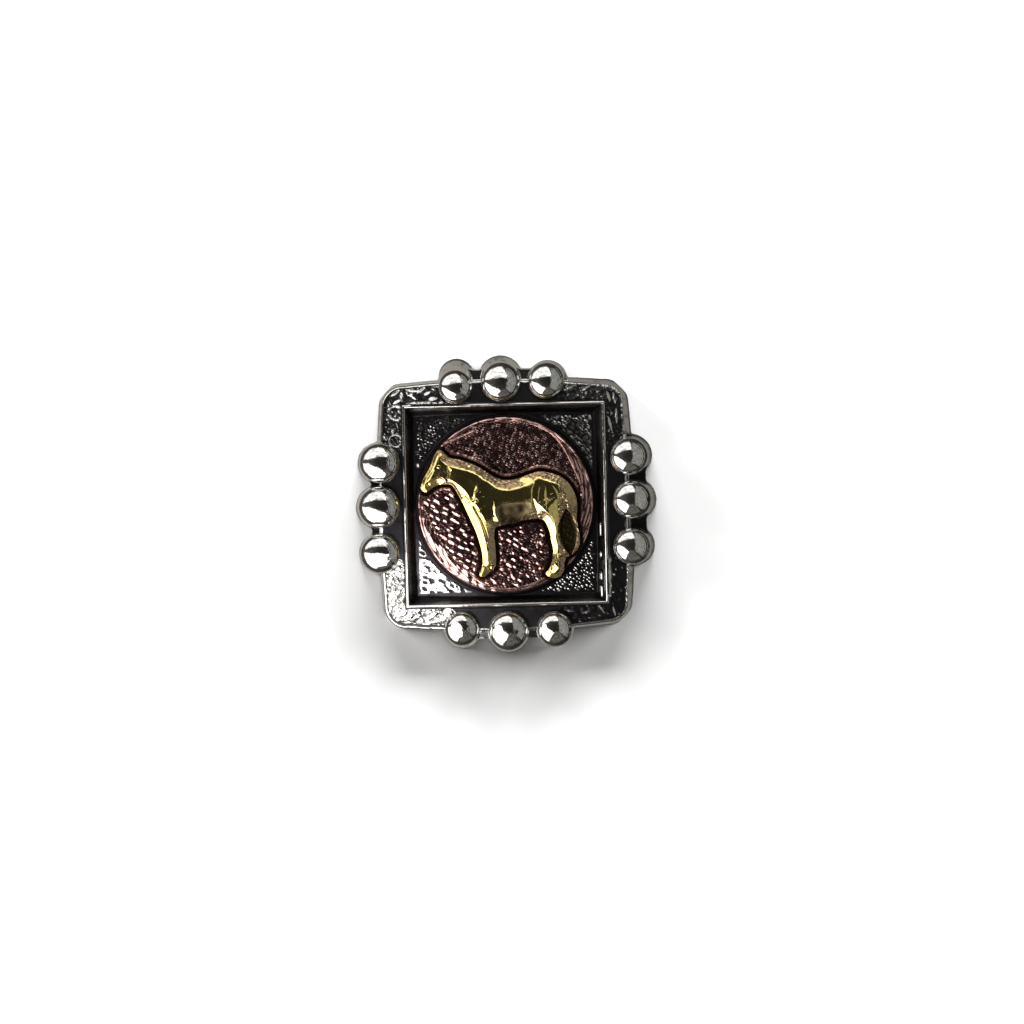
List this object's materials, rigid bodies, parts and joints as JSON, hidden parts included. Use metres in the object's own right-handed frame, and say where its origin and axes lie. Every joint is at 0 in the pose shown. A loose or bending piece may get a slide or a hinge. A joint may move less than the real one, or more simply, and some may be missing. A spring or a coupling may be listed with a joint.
{
  "type": "concho",
  "caption": "Square western concho: silver-tone cast frame edged with beads, sunk pebbled panel, round copper medallion and a brass horse in relief.",
  "frame": {"origin": "middle of the back plane, where the back rim rests", "axes": "+Z the way the front faces, +X to the viewer's right, +Y up the face towards the horse's back"},
  "size_m": [0.0318, 0.0318, 0.0046],
  "materials": {
    "silver_tone": "polished cast metal, dark antique finish in the hollows",
    "copper": "dark antiqued copper, polished on the high spots",
    "brass": "polished brass, olive in the shadows"
  },
  "bodies": {
    "root": {"cast_frame": "silver_tone", "copper_disc": "copper", "horse": "brass"}
  },
  "joints": []
}
